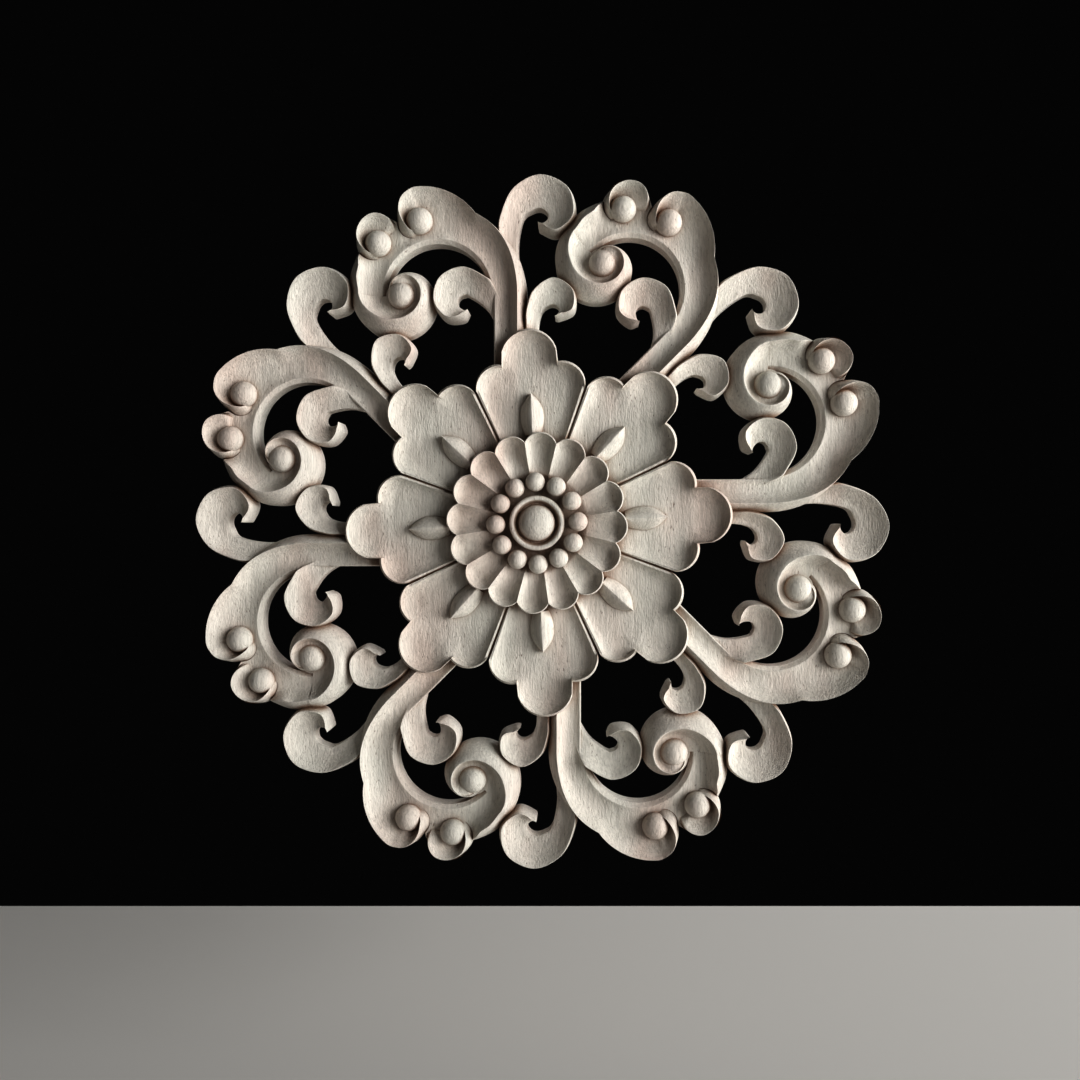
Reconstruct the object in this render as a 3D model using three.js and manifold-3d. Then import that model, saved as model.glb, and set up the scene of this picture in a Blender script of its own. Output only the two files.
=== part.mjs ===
// A pierced wooden rosette, carved from one round board: eight scrolled arms, all of one hand, round
// an eight-petalled flower. It is drawn lying on its back, with X to the right, Y up the face and the
// height of the carving along Z, and is stood upright at the end, so that its flat back lies on the
// plane y = 0 with the origin at its middle, and the carved face looks along -Y.
// Lengths are in millimetres and angles in degrees. A depth is cut down from the face of the board.
import * as THREE from "three";
import { mergeVertices } from "three/addons/utils/BufferGeometryUtils.js";
import Module from "manifold-3d";

const wasm = await Module();
wasm.setup();

// The board, how far the carving reaches from its middle, and what repeats round it
const BOARD = 20;
const REACH = 145.3; // to the top of the outer hooks
const FLOWER_REACH = 80.8; // to the tips of the big petals
const ARMS = 8;
const SMALL_PETALS = 16;
const BEADS = 12;
const WALL_DEPTH = 12.6; // from here down to the back every side is square

// An arm is free carving: its plan is drawn in the figures below, for an arm of this reach, and is
// brought to the reach above as a whole
const DRAWN_REACH = 145.3;

// The scroll band of an arm, drawn about the middle of its crescent opening
const OPENING_AT = [-42, 95.8];
const OPENING_RADIUS = 21.5;
const RIDGE_WIDTH = 1.8; // bevel between the opening and the ridge along it
const STEM_RIDGE_WIDTH = 0.5;
const CHANNEL_RADIUS = 27.3;
const BAND_RADIUS = 37.4;
const BAND_RADIUS_LEFT = 38.3;
const RIM_BEVEL = 3.6; // outer bevel of the stem and of the left side
const LEAF_BEVEL = 0.9;
const STEM_INNER_RADIUS = 23.8; // where the stem's straight inner side stands, on the same centre
const STEM_FOOT = 58; // the stem runs on to the petals, down to here at most
const RIM_DEPTH = 7;
const LEAF_DEPTH = 5.6;
const CHANNEL_DEPTH = 12;
const RIDGE_DEPTH = 10.8;
const CHANNEL_SPREAD = 0.3; // how much of a lobe's extra reach the channel follows

// Where one form of the band passes into the next, as angles about the middle of the opening
const STEM_TURN = [0, 15]; // the stem's straight inner side into the round opening
const BEVEL_TURN = [5, 55]; // the wide bevel of the stem into the leaf's narrow one
const RIM_TURN = [30, 80]; // the stem's rim up to the leaf's
const CHANNEL_TURN = [150, 180]; // the channel into the volute's groove
const LEFT_TURN = [165, 180]; // the left rim into the volute's
const LEFT_BEVEL_TURN = 12; // past the lobe's notch, the narrow bevel into the volute's
const NOTCH_TURNS = [[50, 80], [105, 128], [140, 165]]; // the notches stand between these
const NOTCH_RADIUS = 37.8; // a notch between two lobes is cut in to here at most
const BAND_END = 181;
const VOLUTE_START = 179; // the volute starts inside the band's end

// The leaf on the shoulder of the band: a long round, a tighter one at its tip, and a second lobe
const LEAF_AT = [-47.9, 111.9];
const LEAF_RADIUS = 28.5;
const LEAF_TURN = 93.3; // where the long round passes into the tip
const TIP_RADIUS = 10.3;
const LOBE_AT = [-67.2, 120.2];
const LOBE_RADIUS = 9.7;
const CURL_WIDTH = 2.6; // the groove that curls round each lobe's ball
const CURL_DEPTH = 10.5;

// The balls that end the two lobes and the volute, and the angles that the curls run between
const TIP_BALL = { at: [-49.4, 126.4], radius: 5.4, depth: 4.6 };
const LOBE_BALL = { at: [-66.8, 117.2], radius: 5.3, depth: 4.6 };
const VOLUTE_BALL = { at: [-56.8, 95.4], radius: 5.9, depth: 4.7 };
const TIP_CURL = [75, 205];
const LOBE_CURL = [75, 215];
const CURL_ENDS = [0.15, 0.85]; // where on a half wave the curl's depth starts and stops

// The volute: radii at each eighth of a turn from the left, going down and round to the left again
const EIGHTH = 45;
const VOLUTE_EDGE = [21.8, 19.8, 17.6, 15.5, 13.7, 12.0, 10.0, 8.0, 5.7];
const VOLUTE_CREST = [17.5, 13.2, 10.2, 8.9, 8.6, 8.5, 7.7, 6.9, 5.3];
const VOLUTE_DEPTH = 5.6;
const GROOVE_RADIUS = [10.4, 7.4, 6.8, 6.7, 6.5, 6.5, 6.3, 6.0, 4.9];
const GROOVE_DEPTH = [12, 11, 9.4, 8.2, 7.7, 7.3, 6.6, 6.4, 6.6];
const VOLUTE_CORE = 2.2; // inner end of the sections, hidden under the ball

// Three hooks to an arm. Radii are given at each eighth of a turn about the hook's own eye, the
// foot by its outer and inner corners, and the tip by its radius and angle about the eye. Each
// stretch between two of these places is faceted in so many sections.
const OUTER_HOOK = {
  eye: [1.3, 127.8],
  from: 180,
  turn: -EIGHTH,
  outer: [17.4, 16.7, 17.5, 16.9, 14.7, 10.8, 6.6],
  inner: [7.6, 5.0, 4.2, 3.6, 3.1, 2.4, 2.4],
  foot: [
    [[-13.6, 106], [-6, 100]],
    [[-16.6, 119], [-8.2, 115]],
  ],
  tip: [3.1, -108],
  sections: 2,
  rimDepth: 7.4,
  edgeDepth: 12.4,
};
const TIP_HOOK = {
  eye: [6.7, 89],
  from: 180,
  turn: -EIGHTH,
  outer: [11.9, 12.2, 13.8, 12.2, 9.2, 5.6],
  inner: [4.8, 3.1, 2.6, 2.4, 2.4, 2.2],
  foot: [
    [[-5.9, 74], [0.3, 74]],
    [[-5.5, 82], [0.4, 83.5]],
  ],
  tip: [3.1, -78],
  sections: 1,
  rimDepth: 7.8,
  edgeDepth: 11.8,
};
const INNER_HOOK = {
  eye: [-31.3, 93.2],
  from: EIGHTH,
  turn: EIGHTH,
  outer: [14.2, 14.5, 14.2, 12.9, 10.9, 8.0, 4.8],
  inner: [3.6, 2.8, 2.6, 2.6, 2.7, 2.8, 3.0],
  foot: [
    [[-14.6, 92], [-15.5, 80]],
    [[-18.3, 100.3], [-21.5, 90.2]],
  ],
  tip: [3.4, 326],
  sections: 1,
  rimDepth: 7.6,
  edgeDepth: 12.4,
};
const HOOK_TIP_WIDTH = 0.5;
const HOOK_FOOT = [0, 0.2]; // where along a hook its rim rises out of the wood that it grows from
const HOOK_BEVEL = 1.1;
const HOOK_EDGE_BEVEL = 1.0;
const HOOK_BEVEL_SHARE = 0.25; // a bevel is at most this share of the hook's width
const HOOK_SCOOP = { in: 0.55, down: 0.75 }; // the scoop's turning point, as shares of width and fall

// The flower: big petals with three lobes each, sepals, small petals, beads, a ring and a boss
const PETAL_TURN = 2.7; // the petals stand a little round from upright
const PETAL_TIP_RADIUS = 11.9;
const PETAL_TIP = { out: FLOWER_REACH - PETAL_TIP_RADIUS, across: 0, radius: PETAL_TIP_RADIUS };
const PETAL_SIDE = { out: FLOWER_REACH - 23.8, across: 13.1, radius: 9.8 };
const PETAL_RIM_WIDTH = 2.2;
const PETAL_BEVEL = 0.8;
const PETAL_RIM_DEPTH = 5.4;
const PETAL_BOWL_DEPTH = 10.8;
const PETAL_GROOVE_DEPTH = 8.4;
const PETAL_SIDE_POWER = 5; // how late a bowl rises towards the grooves at its sides
const PETAL_BOWL_POWER = 2.4; // and towards its rim
const PETAL_BOWL_RINGS = [0, 0.5, 1];
const PETAL_BOWL_TOP = 0.86; // how far up its curve the bowl meets the rim
const PETAL_NOTCH_TURN = [5, 18]; // a petal's notches stand this far from its axis
const PETAL_RAYS_INSIDE = [0, 0.27]; // the rays to either side of the notch, as shares of a half petal
const PETAL_RAYS_OUTSIDE = [0.64, 0.84, 0.95];
const IN_GROOVE = 0.99;
const SEPAL = { from: 37, to: 53.5, width: 10.8, depth: 6.8, sink: 0.6 };
const SEPAL_STATIONS = [
  { share: 0, width: 0.55, drop: 0.4 },
  { share: 0.32, width: 1, drop: 0 },
  { share: 0.7, width: 0.64, drop: 0.6 },
  { share: 1, width: 0.04, drop: 2.6 },
];
const SMALL_PETAL_TURN = -2.8;
const SMALL_PETAL_END = { out: 31.1, across: 0, radius: 7.3 };
const SMALL_RIM_DEPTH = 3.2;
const SMALL_RIM_BEVEL = 0.8;
const SMALL_BOWL_DEPTH = 6.8; // also the floor that the beads and the ring stand on
const SMALL_BOWL = { out: 0.74, rise: 0.8 }; // where its far half starts, and how high its sides are there
const SMALL_RAYS = 4;
const BEAD_TURN = 2;
const BEAD_CIRCLE = 18.2;
const BEAD_RADIUS = 4.1;
const BEAD_DEPTH = 0.9;
const RING = { outer: 11.5, crest: 10.4, inner: 9.2, depth: 3.2, innerDepth: 4.2 };
const BOSS_RADIUS = 7.7;
const BOSS_EDGE_DEPTH = 4.8;
const BOSS_SHOULDER = { out: 0.8, down: 0.4 }; // as shares of its radius and of its edge's depth
const BURIED = 1; // the beds of the small petals and the boss stop this far above the back

// How finely round things are faceted
const BALL_SIDES = 7;
const BALL_RINGS = 4;
const BOSS_SIDES = 18;
const BAND_STEPS = { stem: 4, leaf: 6, lobe: 4, left: 2 };
const VOLUTE_STEPS = 11;
const CURL_STEPS = 3;
const FACET_SLACK = 0.4; // flat-enough neighbours are merged within this

const WOOD = { color: "#cdbfae", roughness: 0.78, metalness: 0 };

const TURN = 360;
const UPRIGHT = TURN / 4;
const TO_RADIANS = (2 * Math.PI) / TURN;

// A height above the back, from a depth below the face.
function height(depth) {
  return BOARD - depth;
}

// The point at a radius and an angle from a centre.
function polar([x, y], radius, angle) {
  return [x + radius * Math.cos(angle * TO_RADIANS), y + radius * Math.sin(angle * TO_RADIANS)];
}

// The point that lies a share of the way from one point to another.
function between([ax, ay], [bx, by], share) {
  return [ax + (bx - ax) * share, ay + (by - ay) * share];
}

// A smooth value between evenly spaced ones.
function along(values, share) {
  const points = values.map((value, i) => new THREE.Vector2(i, value));
  return new THREE.SplineCurve(points).getPoint(share).y;
}

// A value that passes smoothly from one to another as x goes from a to b.
function ease(from, to, x, [a, b]) {
  return from + (to - from) * THREE.MathUtils.smoothstep(x, a, b);
}

// How far a ray from a point reaches to the far side of a disc, or nothing if it misses.
function reach([x, y], angle, [cx, cy], radius) {
  const dx = cx - x;
  const dy = cy - y;
  const near = dx * Math.cos(angle * TO_RADIANS) + dy * Math.sin(angle * TO_RADIANS);
  const inside = radius * radius - dx * dx - dy * dy + near * near;
  return inside < 0 ? 0 : near + Math.sqrt(inside);
}

// The angle, seen from a point, at which one rim takes over from another between two angles.
function crossing(first, second, [from, to]) {
  const sign = Math.sign(first(from) - second(from));
  let low = from;
  let high = to;
  for (let i = 0; i < 30; i++) {
    const middle = (low + high) / 2;
    if (Math.sign(first(middle) - second(middle)) === sign) low = middle;
    else high = middle;
  }
  return (low + high) / 2;
}

// Evenly spaced numbers from one to another, both included.
function steps(from, to, count) {
  return Array.from({ length: count + 1 }, (_, i) => from + ((to - from) * i) / count);
}

// A closed solid from a geometry, as a body that can be joined and cut.
function body(geometry) {
  const bare = geometry.clone();
  bare.deleteAttribute("normal");
  bare.deleteAttribute("uv");
  const merged = mergeVertices(bare, 1e-4);
  const mesh = new wasm.Mesh({
    numProp: 3,
    vertProperties: merged.attributes.position.array,
    triVerts: new Uint32Array(merged.index.array),
  });
  return new wasm.Manifold(mesh);
}

// A closed geometry from points and triangles, turned right side out.
function shell(points, triangles) {
  const geometry = new THREE.BufferGeometry();
  geometry.setAttribute("position", new THREE.Float32BufferAttribute(points.flat(), 3));
  let volume = 0;
  for (const [i, j, k] of triangles) {
    const [a, b, c] = [points[i], points[j], points[k]].map((p) => new THREE.Vector3(...p));
    volume += a.dot(b.cross(c));
  }
  const out = volume < 0 ? triangles.map(([i, j, k]) => [i, k, j]) : triangles;
  geometry.setIndex(out.flat());
  return geometry;
}

// A solid skinned over a row of closed rings, each end closed by a fan from its own middle.
function skin(rings) {
  const n = rings[0].length;
  const points = rings.flat();
  const triangles = [];
  for (let r = 0; r + 1 < rings.length; r++) {
    for (let i = 0; i < n; i++) {
      const a = r * n + i;
      const b = r * n + ((i + 1) % n);
      triangles.push([a, b, b + n], [a, b + n, a + n]);
    }
  }
  const ends = [[rings[0], 0, -1], [rings[rings.length - 1], points.length - n, 1]];
  for (const [ring, first, step] of ends) {
    const heart = points.length;
    const feet = [ring[0], ring[n - 1]];
    points.push([0, 1, 2].map((k) => (feet[0][k] + feet[1][k]) / 2));
    for (let i = 0; i < n; i++) {
      const [a, b] = [first + i, first + ((i + 1) % n)];
      triangles.push(step > 0 ? [heart, a, b] : [heart, b, a]);
    }
  }
  return body(shell(points, triangles));
}

// One cross-section of a carved band: a foot on the back at each edge, and between them the carved
// heights at their distances in from the outer edge.
function section(outer, inner, carved) {
  const width = Math.hypot(inner[0] - outer[0], inner[1] - outer[1]);
  const top = carved.map(([inset, rise]) => [...between(outer, inner, inset / width), rise]);
  return [[...outer, 0], ...top, [...inner, 0]];
}

// The rims that the leaf and its lobes give the band, as reaches from the middle of the opening
const leafTip = polar(LEAF_AT, LEAF_RADIUS - TIP_RADIUS, LEAF_TURN);
const tangent = polar(LEAF_AT, LEAF_RADIUS, LEAF_TURN);
const TO_VOLUTE = OPENING_AT[0] - VOLUTE_BALL.at[0];
const turnAngle = Math.atan2(tangent[1] - OPENING_AT[1], tangent[0] - OPENING_AT[0]) / TO_RADIANS;
const rims = {
  stem: () => BAND_RADIUS,
  leaf: (angle) => (angle < turnAngle
    ? reach(OPENING_AT, angle, LEAF_AT, LEAF_RADIUS)
    : Math.max(reach(OPENING_AT, angle, leafTip, TIP_RADIUS), NOTCH_RADIUS)),
  lobe: (angle) => Math.max(reach(OPENING_AT, angle, LOBE_AT, LOBE_RADIUS), NOTCH_RADIUS),
  left: (angle) => ease(BAND_RADIUS_LEFT, VOLUTE_EDGE[0] + TO_VOLUTE, angle, LEFT_TURN),
};
const NOTCHES = [
  crossing(rims.stem, rims.leaf, NOTCH_TURNS[0]),
  crossing(rims.leaf, rims.lobe, NOTCH_TURNS[1]),
  crossing(rims.lobe, rims.left, NOTCH_TURNS[2]),
];

// The band from the stem over the shoulder and down the left side, with the leaf on its outside.
function scrollBand() {
  const stretches = [
    [rims.stem, steps(0, NOTCHES[0], BAND_STEPS.stem)],
    [rims.leaf, steps(NOTCHES[0], NOTCHES[1], BAND_STEPS.leaf)],
    [rims.lobe, steps(NOTCHES[1], NOTCHES[2], BAND_STEPS.lobe)],
    [rims.left, steps(NOTCHES[2], BAND_END, BAND_STEPS.left)],
  ];
  const leftTurn = [NOTCHES[2], NOTCHES[2] + LEFT_BEVEL_TURN];
  const ring = (at, edge, angle, direction) => {
    const onStem = ease(RIM_BEVEL, LEAF_BEVEL, angle, BEVEL_TURN);
    const onLeft = ease(LEAF_BEVEL, VOLUTE_EDGE[0] - VOLUTE_CREST[0], angle, leftTurn);
    const bevel = Math.max(onStem, onLeft);
    const rimDepth = ease(RIM_DEPTH, LEAF_DEPTH, angle, RIM_TURN);
    const beside = CHANNEL_RADIUS + Math.max(0, edge - BAND_RADIUS) * CHANNEL_SPREAD;
    const channel = ease(beside, GROOVE_RADIUS[0] + TO_VOLUTE, angle, CHANNEL_TURN);
    const inner = ease(STEM_INNER_RADIUS, OPENING_RADIUS, angle, STEM_TURN);
    const ridge = inner + ease(STEM_RIDGE_WIDTH, RIDGE_WIDTH, angle, STEM_TURN);
    const carved = [
      [0, height(WALL_DEPTH)],
      [bevel, height(rimDepth)],
      [edge - channel, height(CHANNEL_DEPTH)],
      [edge - ridge, height(RIDGE_DEPTH)],
    ];
    return section(polar(at, edge, direction), polar(at, inner, direction), carved);
  };
  const stem = [STEM_FOOT, (STEM_FOOT + OPENING_AT[1]) / 2];
  const rings = stem.map((y) => ring([OPENING_AT[0], y], BAND_RADIUS, 0, 0));
  for (const [edge, angles] of stretches) {
    const from = edge === rims.stem ? 0 : 1;
    for (const angle of angles.slice(from)) rings.push(ring(OPENING_AT, edge(angle), angle, angle));
  }
  return skin(rings);
}

// The volute that ends the band: it climbs round its ball with an ever shallower groove.
function volute() {
  const end = TURN / 2 + EIGHTH * (VOLUTE_EDGE.length - 1);
  const rings = steps(0, 1, VOLUTE_STEPS).map((share) => {
    const angle = THREE.MathUtils.lerp(VOLUTE_START, end, share);
    const edge = along(VOLUTE_EDGE, share);
    const floor = height(along(GROOVE_DEPTH, share));
    const carved = [
      [0, height(WALL_DEPTH)],
      [edge - along(VOLUTE_CREST, share), height(VOLUTE_DEPTH)],
      [edge - along(GROOVE_RADIUS, share), floor],
      [edge - VOLUTE_CORE, floor],
    ];
    return section(polar(VOLUTE_BALL.at, edge, angle), polar(VOLUTE_BALL.at, VOLUTE_CORE, angle), carved);
  });
  return skin(rings);
}

// A ball standing half out of the wood, with its top at its depth.
function ball({ at, radius, depth }) {
  const dome = new THREE.SphereGeometry(radius, BALL_SIDES, BALL_RINGS);
  dome.rotateX(Math.PI / 2);
  dome.translate(at[0], at[1], height(depth) - radius);
  return body(dome);
}

// The groove that curls round a ball on its outer side, as a body to cut away.
function curl({ at, radius }, [from, to]) {
  const rings = steps(0, 1, CURL_STEPS).map((share) => {
    const angle = from + (to - from) * share;
    const fade = Math.sin(Math.PI * THREE.MathUtils.lerp(...CURL_ENDS, share));
    const width = CURL_WIDTH * fade;
    return [
      [...polar(at, radius - width / 2, angle), BOARD],
      [...polar(at, radius, angle), height(CURL_DEPTH * fade)],
      [...polar(at, radius + width, angle), BOARD],
    ];
  });
  return skin(rings);
}

// A hook: a scooped band that rises to its outer rim and curls in round its eye to a thin tip.
function hook({ eye, from, turn, outer, inner, foot, tip, sections, rimDepth, edgeDepth }) {
  const [tipRadius, tipAngle] = tip;
  const sides = [outer, inner].map((radii, side) => {
    const points = [
      ...foot.map((corners) => corners[side]),
      ...radii.map((radius, i) => polar(eye, radius, from + turn * i)),
      polar(eye, tipRadius + HOOK_TIP_WIDTH * (0.5 - side), tipAngle),
    ];
    return new THREE.SplineCurve(points.map(([x, y]) => new THREE.Vector2(x, y)));
  });
  const stations = steps(0, 1, sections * (foot.length + outer.length));
  const rings = stations.map((share) => {
    const [a, b] = sides.map((side) => side.getPoint(share).toArray());
    const width = Math.hypot(b[0] - a[0], b[1] - a[1]);
    const bevel = Math.min(HOOK_BEVEL, width * HOOK_BEVEL_SHARE);
    const edgeBevel = Math.min(HOOK_EDGE_BEVEL, width * HOOK_BEVEL_SHARE);
    const crestDepth = ease(edgeDepth, rimDepth, share, HOOK_FOOT);
    const scoopDepth = THREE.MathUtils.lerp(crestDepth, edgeDepth, HOOK_SCOOP.down);
    const carved = [
      [bevel, height(crestDepth)],
      [width * HOOK_SCOOP.in, height(scoopDepth)],
      [width - edgeBevel, height(edgeDepth)],
    ];
    return section(a, b, carved);
  });
  return skin(rings);
}

// A solid over a whole turn: rings of carved heights from the middle out to an edge that may vary.
function rosetteRelief(angles, rings) {
  const points = [[0, 0, rings[0].rise(angles[0])], [0, 0, 0]];
  const n = angles.length;
  for (const { radius, rise } of rings) {
    for (const angle of angles) points.push([...polar([0, 0], radius(angle), angle), rise(angle)]);
  }
  const triangles = [];
  for (let i = 0; i < n; i++) {
    const next = (i + 1) % n;
    triangles.push([0, 2 + i, 2 + next]);
    for (let r = 0; r + 1 < rings.length; r++) {
      const a = 2 + r * n;
      triangles.push([a + i, a + n + i, a + n + next], [a + i, a + n + next, a + next]);
    }
    const last = 2 + (rings.length - 1) * n;
    triangles.push([last + i, 1, last + next]);
  }
  return body(shell(points, triangles));
}

// The farthest that any of some discs, mirrored about an axis, reaches along a ray near that axis.
function scallop(discs, axis, angle, half) {
  const away = Math.abs(((((angle - axis) % (2 * half)) + 3 * half) % (2 * half)) - half);
  const reaches = discs.map(({ out, across, radius }) => reach([0, 0], away, [out, across], radius));
  return { edge: Math.max(...reaches), side: away / half };
}

// How far the big petals reach at an angle, and how near that angle is to a groove between them.
function petalShape(angle) {
  return scallop([PETAL_TIP, PETAL_SIDE], UPRIGHT + PETAL_TURN, angle, TURN / ARMS / 2);
}

// The rays that the big petals are drawn on, closer together at their notches and side rims.
function petalRays() {
  const half = TURN / ARMS / 2;
  const discs = [PETAL_TIP, PETAL_SIDE].map(({ out, across, radius }) => (
    (angle) => reach([0, 0], angle, [out, across], radius)
  ));
  const notch = crossing(...discs, PETAL_NOTCH_TURN) / half;
  const shares = [...PETAL_RAYS_INSIDE, notch, ...PETAL_RAYS_OUTSIDE];
  const angles = [];
  for (let petal = 0; petal < ARMS; petal++) {
    const middle = UPRIGHT + PETAL_TURN + 2 * half * petal;
    for (const share of [...shares].reverse()) angles.push(middle - half * share);
    for (const share of shares.slice(1)) angles.push(middle + half * share);
    angles.push(middle + half);
  }
  return angles;
}

// All that stands inside the petals' rims, to clear the arms away from under them.
function petalField() {
  const radius = (angle) => petalShape(angle).edge - PETAL_RIM_WIDTH / 2;
  const above = 2 * BOARD;
  return rosetteRelief(petalRays(), [{ radius, rise: () => above }, { radius, rise: () => 0 }]);
}

// The eight big petals as one relief: bowls inside thin rims, with a groove between neighbours.
function bigPetals() {
  const start = SMALL_PETAL_END.out;
  const bowl = (share) => (angle) => {
    const { side } = petalShape(angle);
    const rise = Math.max(side ** PETAL_SIDE_POWER, share ** PETAL_BOWL_POWER);
    if (side > IN_GROOVE) return height(PETAL_GROOVE_DEPTH);
    return height(THREE.MathUtils.lerp(PETAL_BOWL_DEPTH, PETAL_RIM_DEPTH, rise));
  };
  const rim = (angle) => height(petalShape(angle).side > IN_GROOVE ? PETAL_GROOVE_DEPTH : PETAL_RIM_DEPTH);
  const inward = (gap) => (angle) => petalShape(angle).edge - gap;
  const rings = PETAL_BOWL_RINGS.map((share) => ({
    radius: (angle) => THREE.MathUtils.lerp(start, inward(PETAL_RIM_WIDTH)(angle), share),
    rise: bowl(share * PETAL_BOWL_TOP),
  }));
  rings.push({ radius: inward(PETAL_BEVEL), rise: rim });
  rings.push({ radius: inward(0), rise: () => 0 });
  return rosetteRelief(petalRays(), rings);
}

// The sixteen small petals, spoon-shaped, in a dish round the beads.
function smallPetals() {
  const half = TURN / SMALL_PETALS / 2;
  const axis = UPRIGHT + SMALL_PETAL_TURN;
  const angles = steps(axis - half, axis - half + TURN, SMALL_PETALS * SMALL_RAYS).slice(0, -1);
  const shape = (angle) => scallop([SMALL_PETAL_END], axis, angle, half);
  const rim = height(SMALL_RIM_DEPTH);
  const bowl = height(SMALL_BOWL_DEPTH);
  const side = (angle) => THREE.MathUtils.lerp(bowl, rim, SMALL_BOWL.rise * shape(angle).side ** 2);
  const rings = [
    { radius: () => BEAD_CIRCLE + BEAD_RADIUS, rise: () => bowl },
    { radius: (angle) => shape(angle).edge * SMALL_BOWL.out, rise: side },
    { radius: (angle) => shape(angle).edge - SMALL_RIM_BEVEL, rise: () => rim },
    { radius: (angle) => shape(angle).edge, rise: () => BURIED },
  ];
  return rosetteRelief(angles, rings);
}

// A pointed sepal with a sharp ridge, lying on each big petal.
function sepal() {
  const low = height(PETAL_BOWL_DEPTH + SEPAL.sink);
  const rings = SEPAL_STATIONS.map(({ share, width, drop }) => {
    const y = THREE.MathUtils.lerp(SEPAL.from, SEPAL.to, share);
    const half = (SEPAL.width / 2) * width;
    return [[-half, y, low], [0, y, height(SEPAL.depth + drop)], [half, y, low]];
  });
  return skin(rings);
}

// The boss in its ring at the heart of the flower.
function boss() {
  const profile = [
    [0, BURIED],
    [RING.outer, BURIED],
    [RING.crest, height(RING.depth)],
    [RING.inner, height(RING.innerDepth)],
    [BOSS_RADIUS, height(BOSS_EDGE_DEPTH)],
    [BOSS_RADIUS * BOSS_SHOULDER.out, height(BOSS_EDGE_DEPTH * BOSS_SHOULDER.down)],
    [0, BOARD],
  ];
  const turned = new THREE.LatheGeometry(profile.map(([r, z]) => new THREE.Vector2(r, z)), BOSS_SIDES);
  turned.rotateX(Math.PI / 2);
  return body(turned);
}

// Copies of a body turned evenly round the middle.
function round(piece, count, start = 0) {
  return Array.from({ length: count }, (_, i) => piece.rotate([0, 0, start + (TURN / count) * i]));
}

// One arm, carved whole and brought to its reach.
function arm() {
  const cuts = [curl(TIP_BALL, TIP_CURL), curl(LOBE_BALL, LOBE_CURL)];
  const carved = scrollBand().subtract(wasm.Manifold.union(cuts));
  const pieces = [TIP_BALL, LOBE_BALL, VOLUTE_BALL].map(ball);
  const hooks = [OUTER_HOOK, TIP_HOOK, INNER_HOOK].map(hook);
  const scale = REACH / DRAWN_REACH;
  return wasm.Manifold.union([carved, volute(), ...pieces, ...hooks]).scale([scale, scale, 1]);
}

// The whole carving, lying on its back.
function rosette() {
  const bead = ball({ at: [0, BEAD_CIRCLE], radius: BEAD_RADIUS, depth: BEAD_DEPTH });
  const arms = wasm.Manifold.union(round(arm(), ARMS)).subtract(petalField());
  const parts = [
    arms,
    bigPetals(),
    smallPetals(),
    boss(),
    ...round(sepal(), ARMS, PETAL_TURN),
    ...round(bead, BEADS, BEAD_TURN),
  ];
  return wasm.Manifold.union(parts);
}

// A three.js geometry from a joined body.
function toGeometry(solid) {
  const mesh = solid.getMesh();
  const geometry = new THREE.BufferGeometry();
  geometry.setAttribute("position", new THREE.BufferAttribute(mesh.vertProperties, 3));
  geometry.setIndex(new THREE.BufferAttribute(mesh.triVerts, 1));
  return geometry;
}

const carving = toGeometry(rosette().asOriginal().simplify(FACET_SLACK));
carving.rotateX(Math.PI / 2);
const piece = new THREE.Mesh(carving, new THREE.MeshStandardMaterial(WOOD));
piece.name = "rosette";

const group = new THREE.Group();
group.add(piece);

export default group;
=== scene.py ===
"""The looks of a pierced wooden rosette: eight scrolled arms round a flower, carved from one pale board.

The carving is drawn lying on its back, in millimetres: x to the right, y up the face, and a height
above the flat back. Each form is a class with its sizes as fields. The forms are joined into one
object that stands for the solid of the frame and keeps its outline, depths and box.
"""
import logging
import math
from dataclasses import dataclass, field
from enum import Enum
from typing import Callable, Sequence

import bpy
import numpy as np
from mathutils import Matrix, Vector


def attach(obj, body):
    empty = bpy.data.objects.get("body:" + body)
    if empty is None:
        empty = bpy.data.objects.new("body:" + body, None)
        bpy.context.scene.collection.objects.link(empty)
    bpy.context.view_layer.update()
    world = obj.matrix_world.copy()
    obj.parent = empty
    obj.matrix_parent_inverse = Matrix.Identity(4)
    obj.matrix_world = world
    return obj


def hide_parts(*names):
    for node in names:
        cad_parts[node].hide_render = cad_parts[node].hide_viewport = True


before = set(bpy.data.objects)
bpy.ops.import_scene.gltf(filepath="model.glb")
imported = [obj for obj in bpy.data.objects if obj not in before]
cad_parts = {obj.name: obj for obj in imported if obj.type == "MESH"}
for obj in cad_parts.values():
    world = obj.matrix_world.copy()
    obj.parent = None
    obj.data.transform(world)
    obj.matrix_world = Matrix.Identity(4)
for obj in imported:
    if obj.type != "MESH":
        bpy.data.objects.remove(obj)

log = logging.getLogger("rosette")
Point = tuple[float, float]
Place = tuple[float, float, float]
Body = bpy.types.Object
Profile = list[Point]
MM = 0.001
WELD_WITHIN = 1e-7
HALVINGS = 40
SMOOTH_BELOW = 38
BOARD = 20.0
FLOWER_REACH = 80.8
ARMS = 8
SECTOR = 360 / ARMS
HALF = SECTOR / 2
WALL_DEPTH = 12.6
EIGHTH = 45.0
VOLUTE_AT = (-56.8, 95.4)


def height(depth: float) -> float:
    """Gives a height above the back from a depth below the face, in millimetres."""
    return BOARD - depth


def polar(centre: Point, radius: float, angle: float) -> Point:
    """Gives the point at a radius and an angle in degrees from a centre."""
    turn = math.radians(angle)
    return centre[0] + radius * math.cos(turn), centre[1] + radius * math.sin(turn)


def lerp(start: float, end: float, share: float) -> float:
    """Gives the value a share of the way from one to another."""
    return start + (end - start) * share


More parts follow.
